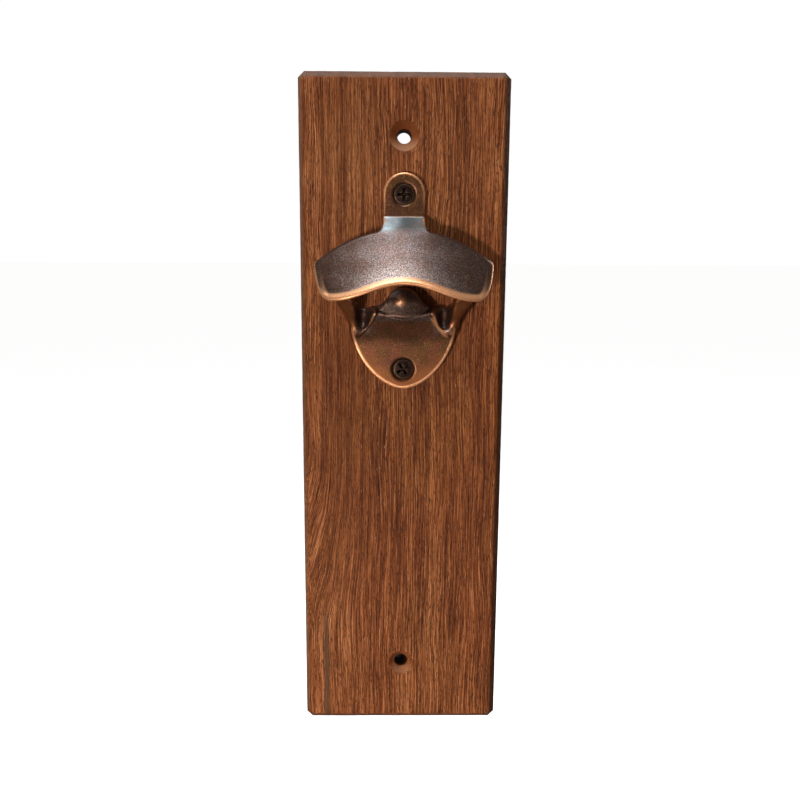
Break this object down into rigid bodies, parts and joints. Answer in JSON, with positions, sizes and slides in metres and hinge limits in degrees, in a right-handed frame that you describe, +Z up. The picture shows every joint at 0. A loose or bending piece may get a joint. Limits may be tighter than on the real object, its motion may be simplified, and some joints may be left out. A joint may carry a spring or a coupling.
{
  "type": "wall-mounted bottle opener on a board",
  "caption": "Tall chamfered hardwood board with countersunk wall holes and a screwed-on cast opener with a curved hood, lifting lip and rounded lower plate.",
  "frame": {"origin": "centre of the board's back face, which lies against the wall", "axes": "+Z up along the grain, +X to the right seen from the front, +Y into the wall; the opener faces -Y"},
  "size_m": [0.09, 0.0458, 0.296],
  "materials": {
    "board_wood": "oiled dark brown hardwood with fine vertical grain and open pores, matt to satin",
    "antique_copper": "antique copper plating over a zinc or iron casting, dark brown and speckled, rubbed bright on the rim and edges",
    "dark_screw": "dark bronzed steel, satin"
  },
  "bodies": {
    "root": {"wooden_board": "board_wood", "opener_casting": "antique_copper", "upper_screw": "dark_screw", "lower_screw": "dark_screw"}
  },
  "joints": []
}
